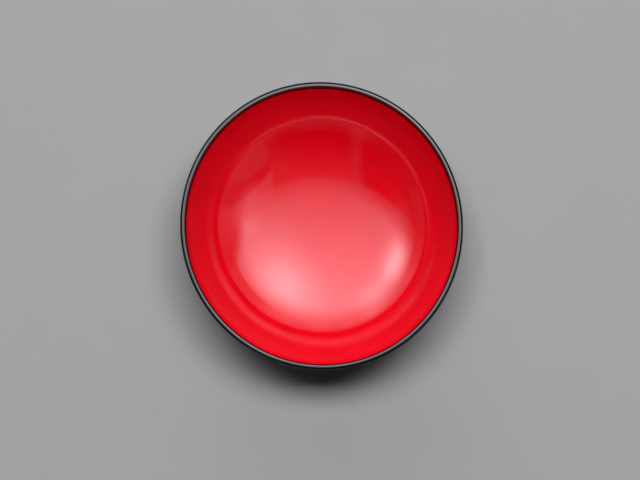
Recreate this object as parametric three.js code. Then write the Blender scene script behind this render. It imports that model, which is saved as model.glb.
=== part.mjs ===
// A turned wooden bowl finished in lacquer: red inside, black over the lip, outside and on the foot.
// It is built up as such a bowl is made: a turned core with a foot ring glued round its spigot, cloth over
// the two edges that take knocks, a ground coat over everything, and the lacquer coats that show.
// Millimetres, +Z up. The origin is on the bowl's axis, on the surface that the foot stands on.
import * as THREE from "three";

// Driving dimensions of the finished bowl
const rimDiameter = 227; // outside, the mean of the long and the short axis
const ovalRatio = 1.021; // long axis over short axis, because the wood has shrunk across its grain
const hollowDepth = 69.4; // on the axis, from the lip's crest to the inside floor
const baseThickness = 9; // on the axis, from the inside floor to the underside
const lipThickness = 4.2; // the lip is a half-round nose of this thickness
const rimBandInside = 1.6; // how far the rim's black goes down inside, below the nose
const rimBandOutside = 5; // how far the rim's own coat goes down outside, below the nose

// Driving dimensions of the foot
const footDiameter = 100; // outside, where the foot's side would meet the table
const footWidth = 5.5; // across the foot at the table
const footLean = THREE.MathUtils.degToRad(9); // both sides of the foot lean in by this as they rise
const footEdgeRadius = 2; // rounding on each side of the standing face
const recessDepth = 7; // underside of the base above the table
const recessFillet = 1; // where the recess's wall meets the underside
const coveRadius = 1.5; // where the bowl's wall meets the foot

// Layers, from the surface inwards
const lacquerThickness = 0.3;
const groundThickness = 0.5;
const clothThickness = 0.4;
const bond = 0.05; // left between one layer and the next

// Joints in the wood
const rimClothReach = 14; // how far the rim's cloth goes down each face, below the nose
const footLedge = 0.6; // width of the foot ring that lies flush with the underside, round the spigot
const glueGap = 0.1; // between the core and the foot ring

// How finely the curves are cut into facets
const segments = 36; // round the axis
const hollowSteps = 6; // up the hollow, as far as the rim's cloth
const noseSteps = 2; // up to the crest, and from there to the rim's diameter
const wallSteps = 5; // down the wall, below the rim's cloth
const edgeSteps = 2; // round each edge of the foot

// Finishes
const finish = (color, roughness) => new THREE.MeshStandardMaterial({ color, roughness, metalness: 0 });
const redLacquer = finish(0xd8101c, 0.08);
const blackLacquer = finish(0x0b0a0a, 0.08);
const groundCoat = finish(0x4a4038, 0.9);
const hempCloth = finish(0xb9a988, 0.95);
const zelkova = finish(0x9c6b3f, 0.7);

// The finished skin is one smooth section from the inside floor, over the lip, to the underside.
// A station on it is a point (r, z) with the unit normal (nr, nz) that points out of the bowl.
const skin = [];
const mark = {};

function addStation(r, z, nr, nz) {
  skin.push({ r, z, nr, nz });
}

// The last station gets a name, so that the layers can start and end on it.
function name(place) {
  mark[place] = skin.length - 1;
}

// A station on a circle, at an angle that runs from +r towards +z.
// The bowl lies inside a convex circle and outside a concave one, and its normal points the other way.
const convex = 1;
const concave = -1;
function addOnCircle(bend, centre, radius, angle) {
  const nr = Math.cos(angle);
  const nz = Math.sin(angle);
  addStation(centre.x + radius * nr, centre.y + radius * nz, bend * nr, bend * nz);
}

// Stations along an arc, without its start
function addArc(bend, centre, radius, from, to, steps) {
  for (let i = 1; i <= steps; i++) {
    addOnCircle(bend, centre, radius, from + ((to - from) * i) / steps);
  }
}

// Directions in the section: along +r, and along -z and +z
const outermost = 0;
const down = -Math.PI / 2;
const up = Math.PI / 2;

// The lip's nose ends at the rim's diameter, and its crest stands the hollow's depth above the floor.
const noseRadius = lipThickness / 2;
const floorHeight = recessDepth + baseThickness;
const nose = new THREE.Vector2(
  rimDiameter / 2 - noseRadius,
  floorHeight + hollowDepth - noseRadius,
);

// The hollow is a sphere through the inside floor that the nose touches from outside.
const noseOverFloor = nose.y - floorHeight;
const hollowRadius =
  (nose.x ** 2 + noseOverFloor ** 2 - noseRadius ** 2) / (2 * (noseOverFloor + noseRadius));
const hollowCentre = new THREE.Vector2(0, floorHeight + hollowRadius);
const hollowEnd = Math.atan2(nose.y - hollowCentre.y, nose.x);

// The outside is a sphere through the underside's middle that the nose touches from inside.
const noseOverBase = nose.y - recessDepth;
const wallRadius =
  (nose.x ** 2 + noseOverBase ** 2 - noseRadius ** 2) / (2 * (noseOverBase - noseRadius));
const wallCentre = new THREE.Vector2(0, recessDepth + wallRadius);
const wallStart = Math.atan2(nose.y - wallCentre.y, nose.x);

// The foot's two sides as lines through the table, each with its normal
const footOutside = new THREE.Vector2(footDiameter / 2, 0);
const footInside = new THREE.Vector2(footDiameter / 2 - footWidth, 0);
const outsideNormal = new THREE.Vector2(Math.cos(footLean), Math.sin(footLean));
const footRise = new THREE.Vector2(-Math.sin(footLean), Math.cos(footLean));

// The cove's centre lies its radius off the foot's side and off the wall, where the side meets the wall.
const coveOffset = footOutside.clone().addScaledVector(outsideNormal, coveRadius).sub(wallCentre);
const coveAlong = coveOffset.dot(footRise);
const coveReach = (wallRadius + coveRadius) ** 2 - coveOffset.lengthSq() + coveAlong ** 2;
const coveCentre = coveOffset
  .clone()
  .addScaledVector(footRise, -coveAlong - Math.sqrt(coveReach))
  .add(wallCentre);
const wallEnd = Math.atan2(coveCentre.y - wallCentre.y, coveCentre.x);

// Centres of the roundings at the table and of the fillet in the recess
const edgeOut = footEdgeRadius / Math.cos(footLean) + footEdgeRadius * Math.tan(footLean);
const edgeIn = footEdgeRadius / Math.cos(footLean) - footEdgeRadius * Math.tan(footLean);
const outerEdge = new THREE.Vector2(footOutside.x - edgeOut, footEdgeRadius);
const innerEdge = new THREE.Vector2(footInside.x + edgeIn, footEdgeRadius);
const recessRise = recessDepth - recessFillet;
const recessCorner = new THREE.Vector2(
  footInside.x - recessFillet / Math.cos(footLean) - recessRise * Math.tan(footLean),
  recessRise,
);

// Angles along the section
const hollowAngle = (belowNose) => hollowEnd - belowNose / hollowRadius;
const wallAngle = (belowNose) => wallStart - belowNose / wallRadius;
const noseStart = hollowEnd + Math.PI;
const coveStart = wallEnd + Math.PI;
const coveEnd = footLean + Math.PI;
const insideLean = footLean - Math.PI;

// The inside, up to the nose
addStation(0, floorHeight, 0, 1);
addArc(concave, hollowCentre, hollowRadius, down, hollowAngle(rimClothReach), hollowSteps);
name("rimClothInside");
addOnCircle(concave, hollowCentre, hollowRadius, hollowAngle(rimBandInside));
name("redEdge");
addOnCircle(concave, hollowCentre, hollowRadius, hollowEnd);

// Over the lip and down the wall
addArc(convex, nose, noseRadius, noseStart, up, noseSteps);
name("crest");
addArc(convex, nose, noseRadius, up, outermost, noseSteps);
addOnCircle(convex, nose, noseRadius, wallStart);
addOnCircle(convex, wallCentre, wallRadius, wallAngle(rimBandOutside));
name("rimBandEdge");
addOnCircle(convex, wallCentre, wallRadius, wallAngle(rimClothReach));
name("rimClothOutside");
addArc(convex, wallCentre, wallRadius, wallAngle(rimClothReach), wallEnd, wallSteps);
name("coveStart");

// The cove, with the foot ring's seat half-way round it
addOnCircle(concave, coveCentre, coveRadius, (coveStart + coveEnd) / 2);
name("seat");
addOnCircle(concave, coveCentre, coveRadius, coveEnd);
name("footTop");

// Round the foot and into the recess
addOnCircle(convex, outerEdge, footEdgeRadius, footLean);
addArc(convex, outerEdge, footEdgeRadius, footLean, down, edgeSteps);
addOnCircle(convex, innerEdge, footEdgeRadius, down);
addArc(convex, innerEdge, footEdgeRadius, down, insideLean, edgeSteps);
addOnCircle(concave, recessCorner, recessFillet, footLean);
name("recessWall");
addOnCircle(concave, recessCorner, recessFillet, up);
name("recessEnd");
addStation(0, recessDepth, 0, -1);
name("underside");

// Depths of the layers' faces below the finished skin. Cloth is let into the wood, so that it lies flush.
const lacquerBack = lacquerThickness;
const groundFace = lacquerBack + bond;
const groundBack = groundFace + groundThickness;
const woodFace = groundBack + bond;
const clothBack = woodFace + clothThickness;
const rebateFace = clothBack + bond;

// The part of the section between two stations, at a depth below the skin
function section(from, to, depth) {
  return skin
    .slice(from, to + 1)
    .map(({ r, z, nr, nz }) => new THREE.Vector2(r === 0 ? 0 : r - depth * nr, z - depth * nz));
}

// One layer's profile: out along its face and home along its back
function layer(from, to, face, back) {
  return [...section(from, to, face), ...section(from, to, back).reverse()];
}

// The core keeps a flat seat for the foot ring and a spigot inside it, down to the underside.
const seat = section(mark.seat, mark.seat, woodFace)[0];
const spigotRadius = recessCorner.x - footLedge;
const woodUnderside = recessDepth + woodFace;
const coreProfile = [
  ...section(0, mark.rimClothInside, woodFace),
  ...section(mark.rimClothInside, mark.rimClothOutside, rebateFace),
  ...section(mark.rimClothOutside, mark.seat, woodFace),
  new THREE.Vector2(spigotRadius, seat.y),
  new THREE.Vector2(spigotRadius, woodUnderside),
  new THREE.Vector2(0, woodUnderside),
];

// The foot ring slides over the spigot and stops against the seat, a glue line short of each.
const footTop = section(mark.footTop, mark.footTop, woodFace)[0];
const ringTop = seat.clone().lerp(footTop, glueGap / (seat.y - footTop.y));
const ringBore = spigotRadius + glueGap;
const ringProfile = [
  ringTop,
  footTop,
  ...section(mark.footTop, mark.recessWall, rebateFace),
  ...section(mark.recessWall, mark.recessEnd, woodFace),
  new THREE.Vector2(ringBore, woodUnderside),
  new THREE.Vector2(ringBore, ringTop.y),
];

// A bowl is turned round and dries oval: short across the grain, along X, and long with it, along Y.
const lacquerBowl = new THREE.Group();
const driedOval = new THREE.Group();
driedOval.scale.set(1 / Math.sqrt(ovalRatio), Math.sqrt(ovalRatio), 1);
lacquerBowl.add(driedOval);

// A piece turned about +Z. A profile off the axis is a ring, so it closes on itself.
function turn(nodeName, profile, material) {
  const outline = profile[0].x === 0 ? profile : [...profile, profile[0]];
  const geometry = new THREE.LatheGeometry(outline.toReversed(), segments);
  geometry.rotateX(Math.PI / 2);
  const piece = new THREE.Mesh(geometry, material);
  piece.name = nodeName;
  driedOval.add(piece);
}

// Wood
turn("wood_core", coreProfile, zelkova);
turn("foot_ring", ringProfile, zelkova);

// Cloth over the lip and over the foot
turn("rim_cloth", layer(mark.rimClothInside, mark.rimClothOutside, woodFace, clothBack), hempCloth);
turn("foot_cloth", layer(mark.footTop, mark.recessWall, woodFace, clothBack), hempCloth);

// Ground coat: the inside's and the outside's meet on the lip's crest
turn("inner_ground", layer(0, mark.crest, groundFace, groundBack), groundCoat);
turn("outer_ground", layer(mark.crest, mark.coveStart, groundFace, groundBack), groundCoat);
turn("foot_ground", layer(mark.coveStart, mark.underside, groundFace, groundBack), groundCoat);

// Lacquer, edge to edge
turn("inner_lacquer", layer(0, mark.redEdge, 0, lacquerBack), redLacquer);
turn("rim_lacquer", layer(mark.redEdge, mark.rimBandEdge, 0, lacquerBack), blackLacquer);
turn("outer_lacquer", layer(mark.rimBandEdge, mark.coveStart, 0, lacquerBack), blackLacquer);
turn("foot_lacquer", layer(mark.coveStart, mark.recessEnd, 0, lacquerBack), blackLacquer);
turn("base_lacquer", layer(mark.recessEnd, mark.underside, 0, lacquerBack), blackLacquer);

export default lacquerBowl;
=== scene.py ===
# %% [markdown]
# # A lacquer bowl
# A serving bowl, seen straight into its mouth: a red hollow inside a black lip. Such a bowl is turned
# from one block of wood and built up in coats, so this lesson builds it the same way: one section
# line, a stack of coats under it, and a turn round the axis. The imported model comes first, because
# every piece has to lie where its solid lies.

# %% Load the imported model
import math

import bpy
import numpy as np
from mathutils import Matrix, Vector


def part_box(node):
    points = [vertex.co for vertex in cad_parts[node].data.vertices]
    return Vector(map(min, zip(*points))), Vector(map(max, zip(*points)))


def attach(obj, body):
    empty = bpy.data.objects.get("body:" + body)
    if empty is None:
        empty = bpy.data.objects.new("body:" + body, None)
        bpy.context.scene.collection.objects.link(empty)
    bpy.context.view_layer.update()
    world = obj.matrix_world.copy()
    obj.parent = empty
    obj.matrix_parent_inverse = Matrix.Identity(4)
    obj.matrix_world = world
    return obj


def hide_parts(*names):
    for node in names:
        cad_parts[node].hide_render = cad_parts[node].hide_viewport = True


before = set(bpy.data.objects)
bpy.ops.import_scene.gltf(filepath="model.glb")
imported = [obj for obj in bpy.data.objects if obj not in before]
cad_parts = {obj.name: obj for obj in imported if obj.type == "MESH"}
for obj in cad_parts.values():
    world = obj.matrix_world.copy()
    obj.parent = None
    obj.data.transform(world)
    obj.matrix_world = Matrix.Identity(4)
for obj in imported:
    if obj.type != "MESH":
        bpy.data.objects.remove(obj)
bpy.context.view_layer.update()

print("nodes:", sorted(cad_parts))

# %% [markdown]
# ## Sizes
# The rim's two half axes and its height are read from the lip's solid. The rest are the turner's own
# sizes, in millimetres, as the solids have them. A bowl of this kind dries a little narrower across
# the grain, so its rim is not a circle: it is 2% longer along Y.

# %% Sizes of the section, in millimetres
MM = 0.001

lip_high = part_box("rim_lacquer")[1]
half_across, half_along = lip_high.x / MM, lip_high.y / MM
rim_radius = math.sqrt(half_across * half_along)
widen = Vector((half_across / rim_radius, half_along / rim_radius))
height = lip_high.z / MM

hollow_depth = 69.4
lip_radius = 2.1
recess_depth = 7.0
recess_fillet = 1.0
foot_radius = 50.0
foot_width = 5.5
foot_lean = math.radians(9)
foot_edge = 2.0
cove_radius = 1.5
print(f"rim {2 * half_across:.1f} x {2 * half_along:.1f} mm, height {height:.1f} mm")

# %% [markdown]
# ## Centres of the arcs
# Hollow, lip, wall and foot run into each other without a kink, so one arc fixes the centre of the next.
# The hollow starts at the floor and touches the lip's arc. The wall wraps the lip's arc, and its circle
# meets the axis at the level of the underside. The cove touches both the wall and the leaning foot. A
# designer would draw these with tangent constraints. Here each one is solved from a right-angled
# triangle, so the line stays exact at any size.

# %% Centres and angles of hollow, lip and wall
floor_height = height - hollow_depth
lip_centre = np.array((rim_radius - lip_radius, height - lip_radius))

lip_over_floor = lip_centre[1] - floor_height
hollow_radius = (lip_centre[0] ** 2 + lip_over_floor**2 - lip_radius**2) / (
    2 * (lip_over_floor + lip_radius)
)
hollow_centre = np.array((0, floor_height + hollow_radius))
hollow_end = math.atan2(lip_centre[1] - hollow_centre[1], lip_centre[0])

lip_over_base = lip_centre[1] - recess_depth
wall_radius = (lip_centre[0] ** 2 + lip_over_base**2 - lip_radius**2) / (
    2 * (lip_over_base - lip_radius)
)
wall_centre = np.array((0, recess_depth + wall_radius))
wall_start = math.atan2(lip_centre[1] - wall_centre[1], lip_centre[0])
print(f"hollow radius {hollow_radius:.2f} mm, wall radius {wall_radius:.2f} mm")

# %% Centres and angles of the foot
outside = np.array((math.cos(foot_lean), math.sin(foot_lean)))
rise = np.array((-math.sin(foot_lean), math.cos(foot_lean)))
cove_offset = np.array((foot_radius, 0)) + cove_radius * outside - wall_centre
cove_along = cove_offset @ rise
cove_reach = (wall_radius + cove_radius) ** 2 - cove_offset @ cove_offset + cove_along**2
cove_centre = wall_centre + cove_offset - rise * (cove_along + math.sqrt(cove_reach))
wall_end = math.atan2(cove_centre[1] - wall_centre[1], cove_centre[0])

slant = math.tan(foot_lean)
edge_reach = foot_edge / math.cos(foot_lean)
outer_edge = np.array((foot_radius - edge_reach - foot_edge * slant, foot_edge))
inner_edge = np.array((foot_radius - foot_width + edge_reach - foot_edge * slant, foot_edge))
recess_rise = recess_depth - recess_fillet
recess_reach = recess_fillet / math.cos(foot_lean)
recess_corner = np.array((foot_radius - foot_width - recess_reach - recess_rise * slant, recess_rise))
print(f"cove at {cove_centre.round(2)} mm, recess {2 * recess_corner[0]:.1f} mm across")

# %% [markdown]
# ## One line for the whole skin
# The skin runs from the middle of the hollow up to the lip, over it, down the wall, round the foot and
# to the middle of the underside. Blender could lathe a drawn curve, but the coats need the exact normal
# at every point, so the line is worked out from arcs and straight stretches that join smoothly. Each
# stretch leaves out its first point, which the stretch before it ends on.

# %% Arcs and straight stretches
def arc(centre, radius, start, stop, count, bend):
    """Points at centre + radius * (cos t, sin t), with t from start to stop in count steps.
    The normal is (cos t, sin t) on a convex stretch (bend 1) and its opposite on a hollow one (-1)."""
    t = np.linspace(start, stop, count + 1)[1:]
    ray = np.column_stack((np.cos(t), np.sin(t)))
    return np.hstack((centre + radius * ray, bend * ray))


def straight(start, stop, normal, count):
    """Points at start + t * (stop - start), with t from 0 to 1 in count steps and one normal."""
    t = np.linspace(0, 1, count + 1)[1:, None]
    points = np.asarray(start) + t * (np.asarray(stop) - np.asarray(start))
    return np.hstack((points, np.tile(normal, (count, 1))))


def on_hollow(reach):
    """Angle of the point that lies reach millimetres along the hollow from the lip's arc."""
    return hollow_end - reach / hollow_radius


def on_wall(reach):
    """Angle of the point that lies reach millimetres along the wall from the lip's arc."""
    return wall_start - reach / wall_radius


quarter = arc(np.zeros(2), 1, 0, math.pi / 2, 90, 1)
print(f"a quarter circle ends at {quarter[-1, :2].round(6)}")

# %% Ends of the foot's stretches
below = np.array((0, -1))
inner_outside = np.array((-math.cos(foot_lean), -math.sin(foot_lean)))
cove_start = wall_end + math.pi
cove_end = foot_lean + math.pi
cove_middle = (cove_start + cove_end) / 2
foot_top = cove_centre - cove_radius * outside
outer_flank = outer_edge + foot_edge * outside
outer_sole = outer_edge + foot_edge * below
inner_sole = inner_edge + foot_edge * below
inner_flank = inner_edge + foot_edge * inner_outside
recess_wall = recess_corner - recess_fillet * inner_outside
print(f"the foot stands on a band {outer_sole[0] - inner_sole[0]:.2f} mm wide")

# %% Draw the skin's line
DOWN = -math.pi / 2
UP = math.pi / 2
OUTERMOST = 0
cloth_reach = 14.0
rim_band_inside = 1.6
rim_band_outside = 5.0

hollow = (hollow_centre, hollow_radius)
lip = (lip_centre, lip_radius)
wall = (wall_centre, wall_radius)
cove = (cove_centre, cove_radius)
# Each stretch is named for the point that it ends on.
stretches = {
    "floor": np.array(((0, floor_height, 0, 1),)),
    "cloth_inside": arc(*hollow, DOWN, on_hollow(cloth_reach), 84, -1),
    "red_edge": arc(*hollow, on_hollow(cloth_reach), on_hollow(rim_band_inside), 10, -1),
    "lip_start": arc(*hollow, on_hollow(rim_band_inside), hollow_end, 3, -1),
    "crest": arc(*lip, hollow_end + math.pi, UP, 14, 1),
    "outermost": arc(*lip, UP, OUTERMOST, 16, 1),
    "wall_start": arc(*lip, OUTERMOST, wall_start, 6, 1),
    "band_edge": arc(*wall, wall_start, on_wall(rim_band_outside), 5, 1),
    "cloth_outside": arc(*wall, on_wall(rim_band_outside), on_wall(cloth_reach), 8, 1),
    "cove_start": arc(*wall, on_wall(cloth_reach), wall_end, 52, 1),
    "seat": arc(*cove, cove_start, cove_middle, 5, -1),
    "foot_top": arc(*cove, cove_middle, cove_end, 5, -1),
    "outer_flank": straight(foot_top, outer_flank, outside, 8),
    "outer_sole": arc(outer_edge, foot_edge, foot_lean, DOWN, 9, 1),
    "inner_sole": straight(outer_sole, inner_sole, below, 2),
    "inner_flank": arc(inner_edge, foot_edge, DOWN, foot_lean - math.pi, 9, 1),
    "recess_wall": straight(inner_flank, recess_wall, inner_outside, 4),
    "recess_end": arc(recess_corner, recess_fillet, foot_lean, UP, 6, -1),
    "underside": straight((recess_corner[0], recess_depth), (0, recess_depth), below, 30),
}
skin = np.vstack(list(stretches.values()))
cut = dict(zip(stretches, np.cumsum([len(rows) for rows in stretches.values()]) - 1))
along = np.concatenate(((0,), np.cumsum(np.hypot(*np.diff(skin[:, :2], axis=0).T))))
print(f"skin: {len(skin)} points, {along[-1]:.1f} mm long, red for {along[cut['red_edge']]:.1f} mm")

# %% [markdown]
# ## What the gouge leaves
# A turner follows the curve by feel, so below the lip the hollow runs a little flatter and then a little
# rounder than a sphere. The gloss shows it, because such a wave bends what it mirrors. A noise would
# bend the mirror everywhere. Instead the slope is given at a few places along the skin and added up to a
# dip, and its backward part is scaled so that the dip ends at nothing.

# %% Dip of the gouge below the lip
# Places in millimetres along the skin from the middle of the hollow, and the slope at each in degrees.
gouge_places = (83.5, 92.2, 98.6, 106.9, 117.5, 129.5)
gouge_slopes = np.radians((0, 3.6, 0, -1.3, -1.3, 0))
spacing = np.gradient(along)
slopes = np.interp(along, gouge_places, gouge_slopes)
slopes[slopes < 0] *= -(slopes.clip(0) @ spacing) / (slopes.clip(None, 0) @ spacing)
gouge_dip = np.cumsum(slopes * spacing)
skin[:, :2] -= gouge_dip[:, None] * skin[:, 2:]
print(f"the gouge went {gouge_dip.max():.2f} mm deeper below the lip, and ends at {gouge_dip[-1]:.4f}")

# %% [markdown]
# ## What the rubbing leaves
# The lip is shaped and rubbed by hand. Its crest leans in a little, and both of its shoulders are rubbed
# towards flat bevels, which give the eye one bright line and a dark outline. A bevel modifier would cut
# both alike, so each shoulder is moved by its own share from its round bow to the straight chord.

# %% Lean and bevels of the lip
lip_lean = 0.8
lip_places = [along[cut[name]] for name in ("lip_start", "crest", "outermost")]
over_lip = np.interp(along, lip_places, (0, math.pi / 2, math.pi))
skin[:, 0] -= lip_lean * np.sin(over_lip) ** 2

# Each shoulder: its name, its first and last point on the skin, and the share of its bow that is rubbed off.
shoulders = (
    ("inner", cut["crest"] - 8, cut["crest"] - 1, 0.5),
    ("outer", cut["crest"] + 5, cut["outermost"], 0.85),
)
for name, first, last, share in shoulders:
    bow = skin[first : last + 1, :2]
    chord = np.linspace(bow[0], bow[-1], len(bow))
    rub = share * (chord - bow)
    bow += rub
    print(f"{name} shoulder of the lip: rubbed by up to {np.linalg.norm(rub, axis=1).max():.2f} mm")

# %% [markdown]
# ## What the brush leaves
# Lacquer is brushed on and rubbed flat by hand, so its mirror is never quite true, and the line where
# red meets black is drawn with a brush. A bump texture would only shade the face, so both are real shape:
# a few seeded waves dip the face by some hundredths of a millimetre, and slower ones sway the red line,
# which is brushed a little lower than in the solids. The ripple only ever dips, and it dies out towards
# the lip and the foot, so the bowl keeps its size.

# %% Ripple of the polished face
hand = np.random.default_rng(17)
wave_count = 9
wave_directions = hand.normal(size=(wave_count, 3))
wave_directions /= np.linalg.norm(wave_directions, axis=1, keepdims=True)
wave_lengths = np.geomspace(19, 60, wave_count)
wave_phases = hand.uniform(0, 2 * math.pi, wave_count)
ripple_depth = 0.09
ripple_fade = 8.0

to_lip = np.minimum(abs(along - along[cut["lip_start"]]), abs(along - along[cut["wall_start"]]))
to_foot = abs(along - along[cut["cove_start"]])
on_face = (along < along[cut["lip_start"]]) | (along > along[cut["wall_start"]])
on_face &= (along < along[cut["cove_start"]]) | (along > along[cut["recess_end"]])
ripple_weight = on_face * np.clip(np.minimum(to_lip, to_foot) / ripple_fade, 0, 1)


def ripple(x, y, z):
    """How far the face dips: half of one minus the mean of sine waves that cross space, times the depth."""
    place = np.stack((x, y, z), axis=-1)
    waves = np.sin(2 * math.pi * (place @ wave_directions.T) / wave_lengths + wave_phases)
    return ripple_depth * (1 - waves.mean(axis=-1)) / 2


print(f"ripple: {wave_count} waves of {wave_lengths[0]:.0f} to {wave_lengths[-1]:.0f} mm")

# %% Sway of the brushed red line
sway_rounds = np.array((1, 2, 3, 5, 9, 14, 23))
sway_sizes = np.array((0.9, 0.10, 0.08, 0.06, 0.05, 0.04, 0.03))
sway_mean = -0.7
sway_phases = hand.uniform(0, 2 * math.pi, len(sway_rounds))
# The slowest wave lies where the photograph has it.
sway_phases[0] = math.radians(-163)
sway_fade = 9.0

past_red = along - along[cut["red_edge"]]
sway_weight = np.clip(np.minimum(1 + past_red / sway_fade, 1 - past_red / rim_band_inside), 0, 1)
skin = np.column_stack((skin, ripple_weight, sway_weight))


def sway(angle):
    """How far the red line leaves its circle: a mean, and sines that fit a whole number of times round."""
    waves = np.sin(np.outer(sway_rounds, angle) + sway_phases[:, None])
    return sway_mean + sway_sizes @ waves


sways = sway(np.linspace(0, 2 * math.pi, 720))
print(f"red line sways from {sways.min():.2f} to {sways.max():.2f} mm")

# %% [markdown]
# ## Coats
# A coat is the stretch of skin it covers, pushed in by its depth, and closed by the same stretch pushed
# in further. A Solidify modifier would do that for one coat, but here the coats share one line, so
# they fit each other at any size.

# %% Sections of the coats
def stretch(start, stop, depth):
    """The skin's rows from one named point to another, each moved against its normal by depth.
    Only the skin itself, at depth 0, keeps its share of the ripple."""
    rows = skin[cut[start] : cut[stop] + 1].copy()
    rows[:, :2] -= depth * rows[:, 2:4]
    if depth > 0:
        rows[:, 4] = 0
    return rows


def coat(start, stop, depth, thickness):
    """A closed section: the stretch at depth, then the same stretch, thickness lower, run backwards.
    A section that touches the axis is rolled round so that it starts and ends there."""
    face, back = stretch(start, stop, depth), stretch(start, stop, depth + thickness)[::-1]
    return np.vstack((back, face) if stop == "underside" else (face, back))


print(f"a coat over the lip has {len(coat('red_edge', 'band_edge', 0, 0.3))} points")

# %% [markdown]
# ## Turning a section
# Turned round the axis, a closed section becomes a closed shell. A Screw modifier could turn it, but not
# sway and dip on the way. A point on the axis must become one vertex, not a ring of them, or the
# shading pinches there, so such a row counts one index and has triangles round it.

# %% Points and faces of a turned shell
TURNS = 216
ON_AXIS = 1e-6
angles = np.arange(TURNS) * 2 * math.pi / TURNS


def carried_round(rows):
    """Points of a section carried round the axis: x = r cos a, y = r sin a, drawn out to the oval, z = h.
    Each point first slides along the skin by its share of the sway and dips by its share of the ripple."""
    radius, level, out, lift, dip, slide = (column[:, None] for column in rows.T)
    shift = slide * sway(angles)
    r, h = radius + shift * lift, level - shift * out + 0 * angles
    dip = dip * ripple(r * np.cos(angles), r * np.sin(angles), h)
    r, h = r - dip * out, h - dip * lift
    return np.stack((r * np.cos(angles) * widen.x, r * np.sin(angles) * widen.y, h), axis=-1)


def shell_faces(pole):
    """Quads between neighbouring rows and turns, with triangles at the rows that are a pole.
    A section with no pole closes on itself, from its last row to its first."""
    size = np.where(pole, 1, TURNS)
    index = (np.cumsum(size) - size)[:, None] + np.where(pole[:, None], 0, np.arange(TURNS))
    low, high = (index[:-1], index[1:]) if pole.any() else (index, np.roll(index, -1, axis=0))
    quads = np.stack((low, high, np.roll(high, -1, axis=1), np.roll(low, -1, axis=1)), axis=-1)
    from_pole, to_pole = quads[..., 0] == quads[..., 3], quads[..., 1] == quads[..., 2]
    faces = quads[~(from_pole | to_pole)].tolist()
    return faces + quads[from_pole][:, :3].tolist() + quads[to_pole][:, (0, 1, 3)].tolist()


def strip_uv(mesh, rows):
    """Lay a ring out flat: u runs once round it from 0 to 1, v is the length along its section in metres."""
    run = np.hypot(*np.diff(np.vstack((rows, rows[:1]))[:, :2], axis=0).T)
    row = np.concatenate(((0,), np.cumsum(run))) * MM
    v = np.stack((row[:-1], row[1:], row[1:], row[:-1]), axis=-1)[:, None, :] + np.zeros((TURNS, 1))
    u = (np.arange(TURNS)[:, None] + np.array((0, 0, 1, 1))) / TURNS + np.zeros((len(rows), 1, 1))
    layer = mesh.uv_layers.new(name="strip")
    layer.uv.foreach_set("vector", np.stack((u, v), axis=-1).astype(np.float32).ravel())


print(f"{TURNS} turns, {2 * math.pi * rim_radius / TURNS:.2f} mm apart at the rim")

# %% A turned piece in its place
sharp_angle = math.radians(40)


def turned(name, rows, material, node):
    """Carry a section round the axis, make it one smooth mesh, and let it take its solid's place."""
    pole = rows[:, 0] < ON_AXIS
    kept = ~pole[:, None] | (np.arange(TURNS) == 0)
    mesh = bpy.data.meshes.new(name)
    mesh.from_pydata(carried_round(rows)[kept] * MM, (), shell_faces(pole))
    mesh.shade_smooth()
    mesh.set_sharp_from_angle(angle=sharp_angle)
    mesh.materials.append(material)
    if not pole.any():
        strip_uv(mesh, rows)
    piece = bpy.data.objects.new(name, mesh)
    bpy.context.scene.collection.objects.link(piece)
    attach(piece, "root")
    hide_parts(node)
    print(f"{name}: {len(mesh.vertices)} points, {len(mesh.polygons)} faces")
    return piece


print(f"edges sharper than {math.degrees(sharp_angle):.0f} degrees stay sharp")

# %% [markdown]
# ## Materials
# Colours are written as sRGB hex values, as a colour picker shows them, and turned to linear light.
# One function adds any node. Patterns are measured in millimetres: a noise scale is one over the size
# of a blotch in metres, because Object coordinates are in metres.

# %% Colour and node helpers
def linear(code):
    """An sRGB hex value as linear light: (c / 12.92) near black, else ((c + 0.055) / 1.055) ^ 2.4."""
    parts = [int(code[place : place + 2], 16) / 255 for place in (1, 3, 5)]
    return (*(c / 12.92 if c <= 0.04045 else ((c + 0.055) / 1.055) ** 2.4 for c in parts), 1)


def add(tree, kind, sockets=None, **settings):
    """Add a node. Settings are its own properties; sockets are its inputs, each a value or an output."""
    made = tree.nodes.new(kind)
    for key, value in settings.items():
        setattr(made, key, value)
    for key, value in (sockets or {}).items():
        if isinstance(value, bpy.types.NodeSocket):
            tree.links.new(value, made.inputs[key])
        else:
            made.inputs[key].default_value = value
    return made


def blank(name):
    """A new material with an empty node tree and its output node."""
    material = bpy.data.materials.new(name)
    material.use_nodes = True
    tree = material.node_tree
    tree.nodes.clear()
    return material, tree, tree.nodes.new("ShaderNodeOutputMaterial")


def per_mm(size):
    """The texture scale that makes one repeat this many millimetres long."""
    return 1 / (size * MM)


print(f"half grey is {linear('#808080')[0]:.3f} in linear light, and a 2 mm grain has scale {per_mm(2):.0f}")

# %% [markdown]
# ## Lacquer
# Lacquer is tree sap that sets to a hard film round its pigment. It is brushed on, rubbed flat with
# charcoal and polished, which gives the eye a deep, even colour under a slightly soft mirror. A clear coat
# over a rough base would add a second haze, but here one film is colour and mirror at once, so one
# Principled surface with a low roughness is enough. The pigment lies in faint clouds about 30 mm wide. The
# rubbing leaves a grain finer than a pixel, so it is drawn coarser than it is, at 2.2 mm. Where the
# foot rubs the table, the film is worn brown and dull in a ragged band about a millimetre high.

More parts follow.
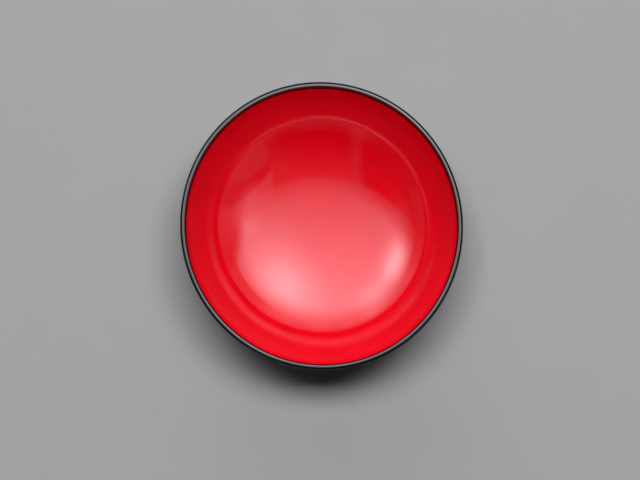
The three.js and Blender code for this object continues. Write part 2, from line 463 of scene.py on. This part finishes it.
# %% Polished lacquer
def lacquer(name, deep, full, roughness, index, worn=None):
    """Pigment from a deep to a full tone, in clouds, and a polish of this roughness and refractive index.
    Worn is the tone where the foot is rubbed: full at the sole, gone above a height that grit varies."""
    material, tree, out = blank(name)
    place = add(tree, "ShaderNodeTexCoord").outputs["Object"]
    cloud_range = (0.3, 0.7)
    clouds = add(
        tree, "ShaderNodeTexNoise", {"Vector": place, "Scale": per_mm(30), "Detail": 3.0}
    ).outputs["Fac"]
    tone = add(tree, "ShaderNodeValToRGB", {"Fac": clouds})
    for element, position, code in zip(tone.color_ramp.elements, cloud_range, (deep, full)):
        element.position = position
        element.color = linear(code)
    colour = tone.outputs["Color"]
    duller = 0.01
    rough = add(
        tree,
        "ShaderNodeMapRange",
        {
            "Value": clouds,
            "From Min": cloud_range[0],
            "From Max": cloud_range[1],
            "To Min": roughness - duller,
            "To Max": roughness + duller,
        },
    ).outputs["Result"]
    if worn:
        level = add(tree, "ShaderNodeSeparateXYZ", {"Vector": place}).outputs["Z"]
        grit = add(
            tree, "ShaderNodeTexNoise", {"Vector": place, "Scale": per_mm(1.5), "Detail": 4.0}
        ).outputs["Fac"]
        ragged = add(
            tree, "ShaderNodeMath", {0: grit, 1: 1.4 * MM, 2: level}, operation="MULTIPLY_ADD"
        ).outputs["Value"]
        rub = add(
            tree,
            "ShaderNodeMapRange",
            {"Value": ragged, "From Min": 0.5 * MM, "From Max": 1.2 * MM, "To Min": 1.0, "To Max": 0.0},
        ).outputs["Result"]
        colour = add(
            tree, "ShaderNodeMix", {"Factor": rub, 6: colour, 7: linear(worn)}, data_type="RGBA"
        ).outputs[2]
        rough = add(
            tree, "ShaderNodeMath", {0: rub, 1: 0.4, 2: rough}, operation="MULTIPLY_ADD"
        ).outputs["Value"]
    grain = add(
        tree, "ShaderNodeTexNoise", {"Vector": place, "Scale": per_mm(2.2), "Detail": 2.0}
    ).outputs["Fac"]
    face = add(
        tree, "ShaderNodeBump", {"Height": grain, "Strength": 0.05, "Distance": 0.02 * MM}
    ).outputs["Normal"]
    shader = add(
        tree,
        "ShaderNodeBsdfPrincipled",
        {"Base Color": colour, "Roughness": rough, "IOR": index, "Normal": face},
    )
    tree.links.new(shader.outputs["BSDF"], out.inputs["Surface"])
    return material


red_lacquer = lacquer("vermilion_lacquer_polished", "#D6031A", "#DD051D", 0.055, 1.45)
black_film = ("#080707", "#0C0A09", 0.05, 1.54)
black_lacquer = lacquer("black_lacquer_polished", *black_film)
foot_black = lacquer("black_lacquer_rubbed_by_standing", *black_film, worn="#2E261F")
print("lacquers:", red_lacquer.name, black_lacquer.name, foot_black.name)

# %% [markdown]
# ## Ground
# Under the lacquer lies a ground of fired clay powder in raw lacquer, put on with a spatula and rubbed
# flat. To the eye it is a dry, dark brown with no shine, slightly cloudy and gritty. A flat colour would
# do for a hidden coat, but two noises show what it is when a piece is looked at by itself.

# %% Ground coat, rubbed flat
ground_coat, tree, out = blank("clay_and_lacquer_ground_rubbed")
place = add(tree, "ShaderNodeTexCoord").outputs["Object"]
clouds = add(
    tree, "ShaderNodeTexNoise", {"Vector": place, "Scale": per_mm(12), "Detail": 5.0}
).outputs["Fac"]
grit = add(
    tree, "ShaderNodeTexNoise", {"Vector": place, "Scale": per_mm(0.4), "Detail": 2.0}
).outputs["Fac"]
tone = add(tree, "ShaderNodeValToRGB", {"Fac": clouds})
for element, code in zip(tone.color_ramp.elements, ("#43392F", "#53473C")):
    element.color = linear(code)
face = add(
    tree, "ShaderNodeBump", {"Height": grit, "Strength": 0.3, "Distance": 0.05 * MM}
).outputs["Normal"]
shader = add(
    tree,
    "ShaderNodeBsdfPrincipled",
    {"Base Color": tone.outputs["Color"], "Roughness": 0.85, "IOR": 1.5, "Normal": face},
)
tree.links.new(shader.outputs["BSDF"], out.inputs["Surface"])
print("ground:", ground_coat.name)

# %% [markdown]
# ## Hemp
# The cloth is a loose plain weave of hemp, soaked in lacquer, which keeps the rim and the foot from
# splitting. To the eye it is a pale brown with a chess board of threads. Real threads could be modelled,
# but they lie under two coats, so a bump on the strip's own flat layout is enough.

# %% Hemp cloth, plain weave
def hemp(name, length, thread=1.1):
    """Two sets of threads, one along u and one along v, that swap over and under like a chess board: the
    product of a sine across each. A whole number of threads fits round the ring, so the weave closes."""
    material, tree, out = blank(name)
    flat = add(tree, "ShaderNodeUVMap", uv_map="strip").outputs["UV"]
    threads = 2 * round(length / (2 * thread))
    count = add(
        tree, "ShaderNodeVectorMath", {0: flat, 1: (threads, per_mm(thread), 0)}, operation="MULTIPLY"
    ).outputs["Vector"]
    split = add(tree, "ShaderNodeSeparateXYZ", {"Vector": count})
    bulges = []
    for axis in ("X", "Y"):
        half_turns = add(
            tree, "ShaderNodeMath", {0: split.outputs[axis], 1: math.pi}, operation="MULTIPLY"
        ).outputs["Value"]
        bulge = add(tree, "ShaderNodeMath", {0: half_turns}, operation="SINE")
        bulges.append(bulge.outputs["Value"])
    over = add(
        tree, "ShaderNodeMath", {0: bulges[0], 1: bulges[1]}, operation="MULTIPLY"
    ).outputs["Value"]
    fibre = add(
        tree, "ShaderNodeTexNoise", {"Vector": count, "Scale": 3.0, "Detail": 3.0}
    ).outputs["Fac"]
    mixed = add(
        tree, "ShaderNodeMath", {0: over, 1: 0.5, 2: fibre}, operation="MULTIPLY_ADD"
    ).outputs["Value"]
    tone = add(tree, "ShaderNodeValToRGB", {"Fac": mixed})
    for element, code in zip(tone.color_ramp.elements, ("#8E7C5C", "#C6B793")):
        element.color = linear(code)
    face = add(
        tree, "ShaderNodeBump", {"Height": over, "Strength": 0.6, "Distance": 0.12 * MM}
    ).outputs["Normal"]
    shader = add(
        tree,
        "ShaderNodeBsdfPrincipled",
        {"Base Color": tone.outputs["Color"], "Roughness": 0.75, "IOR": 1.5, "Normal": face},
    )
    tree.links.new(shader.outputs["BSDF"], out.inputs["Surface"])
    return material


rim_hemp = hemp("hemp_strip_plain_weave_rim", 2 * math.pi * lip_centre[0])
foot_hemp = hemp("hemp_strip_plain_weave_foot", 2 * math.pi * outer_edge[0])
print("cloth:", rim_hemp.name, foot_hemp.name)

# %% [markdown]
# ## Wood
# The wood is a hard, ring-porous one, turned and sanded, with the grain along the bowl's long axis. To
# the eye it is a warm brown with bands of growth and long fine pores. The bands circle the pith, which
# lay outside the block, so a ring texture is set off from the bowl's axis. Real years are about
# 3 mm wide, and they are drawn coarser, as bands of 20 mm. A wave texture repeats 20 times in a length of
# 2 pi at scale 1.

# %% Turned wood
ring_width = 20.1
ring_scale = per_mm(ring_width) * 2 * math.pi / 20
pith_offset = (40 * MM, 0, 160 * MM)
pore_length = 25

turned_wood, tree, out = blank("ring_porous_wood_turned")
place = add(tree, "ShaderNodeTexCoord").outputs["Object"]
pith = add(tree, "ShaderNodeMapping", {"Vector": place, "Location": pith_offset}).outputs["Vector"]
rings = add(
    tree,
    "ShaderNodeTexWave",
    {"Vector": pith, "Scale": ring_scale, "Distortion": 1.2, "Detail": 2.0, "Detail Scale": 0.6},
    wave_type="RINGS",
    rings_direction="Y",
    wave_profile="SAW",
).outputs["Fac"]
long_grain = add(
    tree, "ShaderNodeMapping", {"Vector": place, "Scale": (1, 1 / pore_length, 1)}
).outputs["Vector"]
pores = add(
    tree, "ShaderNodeTexNoise", {"Vector": long_grain, "Scale": per_mm(0.5), "Detail": 2.0}
).outputs["Fac"]
mixed = add(
    tree, "ShaderNodeMath", {0: pores, 1: 0.5, 2: rings}, operation="MULTIPLY_ADD"
).outputs["Value"]
tone = add(tree, "ShaderNodeValToRGB", {"Fac": mixed})
for element, code in zip(tone.color_ramp.elements, ("#8A5A32", "#B98552")):
    element.color = linear(code)
face = add(
    tree, "ShaderNodeBump", {"Height": pores, "Strength": 0.3, "Distance": 0.1 * MM}
).outputs["Normal"]
shader = add(
    tree,
    "ShaderNodeBsdfPrincipled",
    {"Base Color": tone.outputs["Color"], "Roughness": 0.6, "IOR": 1.5, "Normal": face},
)
tree.links.new(shader.outputs["BSDF"], out.inputs["Surface"])
print("wood:", turned_wood.name)

# %% [markdown]
# ## The wooden body
# The body is one turned block with a spigot under it, and the foot is a ring that is pushed over the
# spigot and glued. Both stand back where the cloth is let in. They are hidden, and they are still made
# smooth, because the flat facets of a coarse solid would poke through the thin coats above them.

# %% Turned body
wood_face = 0.9
rebate_face = 1.35
foot_ledge = 0.6
spigot_radius = recess_corner[0] - foot_ledge
wood_under = recess_depth + wood_face


def corner(r, h):
    """A row for a plain corner of a section, with no normal, ripple or sway."""
    return np.array(((r, h, 0, 0, 0, 0),))


seat_rows = stretch("seat", "foot_top", wood_face)
seat_level = seat_rows[0, 1]
body_rows = np.vstack(
    (
        stretch("floor", "cloth_inside", wood_face),
        stretch("cloth_inside", "cloth_outside", rebate_face),
        stretch("cloth_outside", "seat", wood_face),
        corner(spigot_radius, seat_level),
        corner(spigot_radius, wood_under),
        corner(0, wood_under),
    )
)
turned("turned_body", body_rows, turned_wood, "wood_core")

# %% Turned foot ring
glue_gap = 0.1
ring_bore = spigot_radius + glue_gap
glue_share = glue_gap / (seat_level - seat_rows[1, 1])
ring_top = seat_rows[0] + glue_share * (seat_rows[1] - seat_rows[0])
ring_rows = np.vstack(
    (
        ring_top,
        seat_rows[1:],
        stretch("foot_top", "recess_wall", rebate_face),
        stretch("recess_wall", "recess_end", wood_face),
        corner(ring_bore, wood_under),
        corner(ring_bore, ring_top[1]),
    )
)
turned("turned_foot_ring", ring_rows, turned_wood, "foot_ring")

# %% [markdown]
# ## The cloth
# Two strips of hemp are let into the wood, one over the lip and one over the foot's standing edge, where
# knocks come. They are glued down tight, so they take the exact curve under them, and simulating cloth
# would add nothing. Each strip's flat size follows from its section: its width along the skin, and its
# length round the bowl.

# %% Hemp strips
cloth_face = 0.9
cloth_thickness = 0.4


def strip_size(start, stop):
    """Width along the section and mean length round the axis of a strip's middle surface, in metres."""
    middle = stretch(start, stop, cloth_face + cloth_thickness / 2)[:, :2]
    runs = np.hypot(*np.diff(middle, axis=0).T)
    radii = (middle[1:, 0] + middle[:-1, 0]) / 2
    return runs.sum() * MM, 2 * math.pi * (radii @ runs) / runs.sum() * MM


for name, start, stop, cloth, node, under in (
    ("hemp_strip_lip", "cloth_inside", "cloth_outside", rim_hemp, "rim_cloth", "turned_body"),
    ("hemp_strip_foot", "foot_top", "recess_wall", foot_hemp, "foot_cloth", "turned_foot_ring"),
):
    strip = turned(name, coat(start, stop, cloth_face, cloth_thickness), cloth, node)
    flat = strip_size(start, stop)
    print(f"{name}: cut {1000 * flat[0]:.1f} x {1000 * flat[1]:.1f} mm")

# %% [markdown]
# ## The ground coats
# The ground is put on in three sittings: inside, outside, and foot with underside. Each is one coat from
# the same skin, half a millimetre thick, so none of them can poke through the film above it.

# %% Ground coats
ground_face = 0.35
ground_thickness = 0.5
for name, start, stop, node in (
    ("ground_inside", "floor", "crest", "inner_ground"),
    ("ground_outside", "crest", "cove_start", "outer_ground"),
    ("ground_foot", "cove_start", "underside", "foot_ground"),
):
    rows = coat(start, stop, ground_face, ground_thickness)
    turned(name, rows, ground_coat, node)

# %% [markdown]
# ## The lacquer films
# Five films close the bowl: the red inside, and black over the lip, the wall, the foot and the recess.
# They meet edge to edge, as the masked edges of the real films do, and the red line is the only
# edge that shows, because the blacks run into each other. One painted shell would look alike, but the
# real films are put on one by one, and so are these.

# %% Lacquer films
film = 0.3
for name, start, stop, finish, node, slot in (
    ("red_lacquer_inside", "floor", "red_edge", red_lacquer, "inner_lacquer", "red_lacquer"),
    ("black_lacquer_lip", "red_edge", "band_edge", black_lacquer, "rim_lacquer", "black_lacquer"),
    ("black_lacquer_wall", "band_edge", "cove_start", black_lacquer, "outer_lacquer", "black_lacquer"),
    ("black_lacquer_foot", "cove_start", "recess_end", foot_black, "foot_lacquer", "black_lacquer"),
    ("black_lacquer_base", "recess_end", "underside", black_lacquer, "base_lacquer", "black_lacquer"),
):
    turned(name, coat(start, stop, 0, film), finish, node)

# %% [markdown]
# ## Floor
# The bowl stands on grey paper, which scatters light evenly and gives the eye a matt grey with a faint
# mottle. It takes the bowl's soft shadow and nothing else. One large plane would do for the view, but the
# lip mirrors the paper too, and far paper would be too bright there. So the floor is a sheet that the
# polish mirrors, and a surround in the same plane that the polish leaves out.

# %% Grey paper
grey = "#A6A6A7"
paper, tree, out = blank("grey_background_paper")
place = add(tree, "ShaderNodeTexCoord").outputs["Object"]
mottle = add(
    tree, "ShaderNodeTexNoise", {"Vector": place, "Scale": per_mm(60), "Detail": 4.0}
).outputs["Fac"]
tone = add(tree, "ShaderNodeValToRGB", {"Fac": mottle})
for element, code in zip(tone.color_ramp.elements, ("#A4A4A5", "#A8A8A9")):
    element.color = linear(code)
shader = add(
    tree,
    "ShaderNodeBsdfPrincipled",
    {"Base Color": tone.outputs["Color"], "Roughness": 0.9, "IOR": 1.45, "Specular IOR Level": 0.2},
)
tree.links.new(shader.outputs["BSDF"], out.inputs["Surface"])
print("floor:", paper.name)

# %% Sheet and surround
half_sheet = 0.7
half_floor = 15.0
floor_level = -0.1 * MM
around = np.array(((-1, -1), (1, -1), (1, 1), (-1, 1)))
ring = [(i, (i + 1) % 4, 4 + (i + 1) % 4, 4 + i) for i in range(4)]
for name, corners, faces, in_mirror in (
    ("paper_floor", around * half_sheet, [(0, 1, 2, 3)], True),
    ("paper_surround", np.vstack((around * half_floor, around * half_sheet)), ring, False),
):
    mesh = bpy.data.meshes.new(name)
    mesh.from_pydata(np.column_stack((corners, np.full(len(corners), floor_level))), (), faces)
    mesh.materials.append(paper)
    floor = bpy.data.objects.new(name, mesh)
    floor.visible_glossy = in_mirror
    bpy.context.scene.collection.objects.link(floor)
print("sheet:", 2 * half_sheet, "m, floor:", 2 * half_floor, "m square")

# %% [markdown]
# ## Camera
# The camera looks straight down the bowl's axis from two metres, turned so that the long axis of the
# rim leans to the upper left. It aims a little below the bowl's middle, which puts the bowl
# above the middle of the picture, as in the photograph. The lens follows from the size that the rim has
# in the picture, so nothing has to be tried out.

# %% Directions of the picture
roll = math.radians(17)
picture_up = Vector((math.sin(roll), math.cos(roll), 0))
picture_right = Vector((math.cos(roll), -math.sin(roll), 0))


def facing(place, aim):
    """Matrix of a thing at place that looks at aim, with its own right side along the picture's."""
    back = (place - aim).normalized()
    side = picture_up.cross(back).normalized()
    turn = Matrix((side, back.cross(side), back)).transposed().to_4x4()
    return Matrix.Translation(place) @ turn


print(f"picture's up lies {math.degrees(roll):.0f} degrees from +Y")

# %% Camera over the bowl
photo_width = 640
photo_centre = (320, 240)
outline_centre = (321.55, 226.1)
outline_radius = 142.8
sensor = 36.0
distance = 2.0
far_end = 60

lip_level = lip_centre[1] * MM
pixels_per_metre = outline_radius / (rim_radius * MM)
off_right = photo_centre[0] - outline_centre[0]
off_down = photo_centre[1] - outline_centre[1]
off_axis = (off_right * picture_right - off_down * picture_up) / pixels_per_metre
target = off_axis + Vector((0, 0, lip_level))
stand = Vector((0, 0, lip_level + distance))

camera_data = bpy.data.cameras.new("camera")
camera_data.sensor_width = sensor
camera_data.lens = pixels_per_metre * distance * sensor / photo_width
camera_data.clip_end = far_end
camera = bpy.data.objects.new("camera", camera_data)
camera.matrix_world = facing(stand, target)
bpy.context.scene.collection.objects.link(camera)
bpy.context.scene.camera = camera
print(f"lens {camera_data.lens:.1f} mm at {distance:.2f} m over the rim")

# %% [markdown]
# ## Soft light
# The shadow on the paper is soft and falls mostly towards the bottom of the picture, so the light comes
# from one wide soft box, some 16 degrees off the vertical towards the top. A sun lamp would draw a hard
# edge. The box's power is set so that a flat grey card comes out as its own colour. The polish doesn't
# mirror the box: what it shows instead is drawn on the world, where it can be placed freely.

# %% Soft box
softbox_distance = 4.0
softbox_way = 0.03 * picture_right + 0.283 * picture_up + Vector((0, 0, 0.959))
softbox_data = bpy.data.lights.new("softbox", "AREA")
softbox_data.shape = "RECTANGLE"
softbox_data.size = 2.6
softbox_data.size_y = 1.0
softbox_data.energy = 151
softbox = bpy.data.objects.new("softbox", softbox_data)
softbox.matrix_world = facing(softbox_distance * softbox_way, Vector((0, 0, lip_level)))
softbox.visible_glossy = False
softbox.visible_camera = False
bpy.context.scene.collection.objects.link(softbox)
print(f"softbox {softbox_data.size:.1f} x {softbox_data.size_y:.1f} m, {softbox_data.energy:.0f} W")

# %% [markdown]
# ## What the polish mirrors
# A polished hollow shows its whole surroundings, so they are designed as what the bowl sees: a white
# tent, centred well towards the top of the picture, and a dark room below its hem. Real cards and lamps
# could stand there, but a world that is drawn from the ray's direction has no grain and is easily moved. A
# direction is given by its shares along the picture's right and up, and by how steep it is.

# %% World, and the means to draw on it
world = bpy.data.worlds.new("studio")
bpy.context.scene.world = world
world.use_nodes = True
tree = world.node_tree
tree.nodes.clear()
ray = add(tree, "ShaderNodeTexCoord").outputs["Generated"]


def towards(direction):
    """The ray's share along a direction: their dot product."""
    sockets = {0: ray, 1: direction}
    return add(tree, "ShaderNodeVectorMath", sockets, operation="DOT_PRODUCT").outputs["Value"]


def fall(value, start, stop, first, last):
    """A smooth step of brightness from first, where value is start, to last, where value is stop."""
    sockets = {"Value": value, "From Min": start, "From Max": stop, "To Min": first, "To Max": last}
    return add(tree, "ShaderNodeMapRange", sockets, interpolation_type="SMOOTHSTEP").outputs["Result"]


def combine(operation, *values):
    """One operation carried through all the values, as in ((first + second) + third) + fourth."""
    result = values[0]
    for value in values[1:]:
        result = add(tree, "ShaderNodeMath", {0: result, 1: value}, operation=operation).outputs["Value"]
    return result


def glow(right, up, sharpness, strength):
    """A round glow: strength * e ^ (sharpness * (cos - 1)), with cos taken from its centre's direction."""
    centre = right * picture_right + up * picture_up + Vector((0, 0, math.sqrt(1 - right**2 - up**2)))
    power = combine("MULTIPLY", combine("SUBTRACT", towards(centre), 1.0), sharpness)
    spread = add(tree, "ShaderNodeMath", {0: power}, operation="EXPONENT").outputs["Value"]
    return combine("MULTIPLY", spread, strength)


rightward = towards(picture_right)
upward = towards(picture_up)
skyward = towards((0, 0, 1))
steep = add(tree, "ShaderNodeMath", {0: skyward}, operation="ABSOLUTE").outputs["Value"]
print("directions on the world:", len(tree.nodes), "nodes")

# %% [markdown]
# ## Tent and lamps
# The cloth grows brighter towards the top of the picture. It ends in a soft hem, which is drawn up at the
# sides, and a faint seam runs below that. Lamps glow through it. Near the horizon the cloth is dimmer,
# with a step at its lower edge. A photographed sky could light the bowl instead, but these few soft shapes
# can be moved one by one until the gloss looks right.

# %% Tent cloth and lamps
tent_tilt = math.radians(42.6)
tent_axis = math.sin(tent_tilt) * picture_up + Vector((0, 0, math.cos(tent_tilt)))
to_tent = towards(tent_axis)
hem = combine("SUBTRACT", to_tent, combine("MULTIPLY", rightward, rightward, 0.1))
hem_range = (0.08, 0.42)
lower_edge = (0.240, 0.256)

left_side = fall(rightward, -0.98, -0.79, 0.3, 1)
right_side = fall(rightward, 0.86, 0.95, 1, 0.08)
cloth = combine("ADD", combine("MULTIPLY", upward, 3.3), 3.25)
cloth = combine("MULTIPLY", cloth, fall(hem, *hem_range, 0, 1), left_side, right_side)
seam = combine("MULTIPLY", fall(to_tent, 0.19, 0.22, 0, 0.22), fall(to_tent, 0.22, 0.34, 1, 0))
# Each lamp: its share along the right and the up, its sharpness and its strength.
lamp_glows = (
    (0.44, 0.67, 16, 6.0),
    (-0.87, 0.27, 60, 5.4),
    (-0.80, 0.46, 60, 7.0),
    (-0.90, -0.08, 60, 0.7),
    (-0.57, 0.76, 50, 5.0),
    (0.85, 0.0, 110, 1.6),
    (0.62, 0.24, 20, 0.9),
    (0.82, -0.28, 80, 1.0),
)
lamps = combine("ADD", *(glow(*row) for row in lamp_glows))
tent = combine("MULTIPLY", combine("ADD", cloth, seam, lamps), fall(steep, 0.20, 0.50, 0.38, 1))
tent = combine("MULTIPLY", tent, fall(steep, *lower_edge, 0.3, 1))
print(f"tent tilted by {math.degrees(tent_tilt):.1f} degrees, {len(lamp_glows)} lamps")

# %% [markdown]
# ## The room below the hem
# Below the hem the room is dark, but a few things in it catch some light. At the right are a card over a
# sloping line, a table under a second line and a bright patch. At the left is a leaning pole, and in
# front the rest of the room. Lit boards could stand there, but the gloss shows them blurred anyway, so
# they are drawn as soft steps and one glow.

# %% Card, table, pole and front
card_range = (0.54, 0.61)
card_edge = fall(rightward, *card_range, 0, 1)
over_line = combine("ADD", combine("SUBTRACT", upward, combine("MULTIPLY", rightward, 1.18)), 1.29)
under_line = combine("ADD", combine("SUBTRACT", upward, rightward), 1.27)
card = combine("MULTIPLY", card_edge, fall(over_line, -0.05, 0.03, 0.12, 0.95))
card = combine("MULTIPLY", card, fall(steep, 0.20, 0.40, 0.5, 1))
table = combine("MULTIPLY", card_edge, fall(under_line, -0.06, 0.02, 0.32, 0))
patch = glow(0.94, -0.25, 60, 0.2)
leaning = combine("ADD", rightward, combine("MULTIPLY", upward, 0.29))
pole = combine("MULTIPLY", fall(leaning, -0.71, -0.65, 0, 0.18), fall(leaning, -0.64, -0.54, 1, 0))
front = combine("MULTIPLY", fall(upward, -0.95, -0.55, 0, 0.35), fall(leaning, -0.66, -0.58, 0.15, 1))
front = combine("MULTIPLY", front, fall(rightward, *card_range, 1, 0), fall(steep, 0.02, 0.16, 0.08, 1))
room = combine("ADD", card, table, patch, pole, front)
room = combine("MULTIPLY", room, fall(hem, *hem_range, 1, 0))
print("tent and room:", len(tree.nodes), "nodes")

# %% [markdown]
# ## The horizon
# The wall near the lip mirrors what lies low: a bright end at the top of the picture, and a dim band
# between the horizon and the tent's lower edge, darker at the right and with a gap at the lower left. Far
# walls could be modelled for it, but two soft bands on the world are simpler. Below the horizon the world
# stays dark, so the polish shows only the sheet of paper there.

# %% Bright end and dim band
bright_end = combine("MULTIPLY", fall(upward, 0.3, 0.9, 0, 6.5), fall(steep, 0.0, 0.10, 0.2, 1))
bright_end = combine("ADD", fall(upward, -0.5, 0.0, 0, 0.35), bright_end)
bright_end = combine("MULTIPLY", bright_end, fall(steep, 0.08, 0.18, 1, 0))
to_gap = towards(-0.77 * picture_right - 0.64 * picture_up)
gap = fall(to_gap, 0.90, 0.96, 1, 0.1)
dim_band = combine("MULTIPLY", fall(steep, 0.02, 0.14, 0, 0.18), fall(steep, *lower_edge, 1, 0))
dim_band = combine("MULTIPLY", dim_band, fall(rightward, 0.52, 0.68, 1, 0.3), gap)
dim_band = combine("MULTIPLY", dim_band, fall(upward, -0.95, -0.87, 1.35, 1))
horizon = combine("ADD", bright_end, dim_band)
over_horizon = fall(skyward, -0.02, 0.0, 0, 1)
print("with the horizon:", len(tree.nodes), "nodes")

# %% [markdown]
# ## Second images
# The hollow mirrors itself too: one wall shows the other wall's mirror. The renderer finds such images by
# itself, but here they would be too bright and would hide the faint rings that the eye sees below the
# lip. Glossy Depth counts the mirrors on a ray's way. After the second one the surroundings are dimmed
# to a quarter, and a few narrow glows make the rings.

# %% Glows of the second mirror
path = add(tree, "ShaderNodeLightPath")
mirrors = path.outputs["Glossy Depth"]
first_image = fall(mirrors, 1.0, 2.0, 1, 0.25)
second_image = fall(mirrors, 1.0, 2.0, 0, 1)
echo_sharpness = 126
# Each glow: its share along the right and the up, and its strength.
echo_glows = (
    (0.17, 0.17, 15.0),
    (0.08, 0.27, 5.0),
    (0.0, 0.25, 7.0),
    (-0.08, 0.36, 6.0),
    (-0.22, 0.22, 8.0),
    (0.19, 0.0, 1.8),
)
echo = combine("ADD", *(glow(right, up, echo_sharpness, strength) for right, up, strength in echo_glows))
surroundings = combine("ADD", tent, room, horizon)
mirrored = combine("MULTIPLY", surroundings, first_image, over_horizon)
mirrored = combine("ADD", mirrored, combine("MULTIPLY", echo, second_image))
print("with the second images:", len(tree.nodes), "nodes")

# %% [markdown]
# ## One world for three kinds of ray
# A ray that leaves matt paper, or the pigment in the lacquer, finds only a low glow from the top of the
# picture, which lengthens the shadow, and a little fill, which keeps it from going black. A mirrored ray
# finds the surroundings, in a slightly cool white. A camera ray finds the paper's grey, so the floor has
# no end.

# %% Join the light
low_glow = glow(-0.10, 0.982, 16, 4.2)
fill = 0.014
shed_light = combine("ADD", low_glow, fill)
shed = add(tree, "ShaderNodeBackground", {"Color": linear("#FFFFFF"), "Strength": shed_light}).outputs[0]
seen = add(tree, "ShaderNodeBackground", {"Color": linear("#F8F8FF"), "Strength": mirrored}).outputs[0]
backdrop = add(tree, "ShaderNodeBackground", {"Color": linear(grey), "Strength": 1.0}).outputs[0]
light = add(
    tree, "ShaderNodeMixShader", {0: path.outputs["Is Glossy Ray"], 1: shed, 2: seen}
).outputs[0]
joined = add(
    tree, "ShaderNodeMixShader", {0: path.outputs["Is Camera Ray"], 1: light, 2: backdrop}
).outputs[0]
add(tree, "ShaderNodeOutputWorld", {"Surface": joined})

bpy.context.scene.view_settings.view_transform = "Standard"
print("world:", len(tree.nodes), "nodes in all")
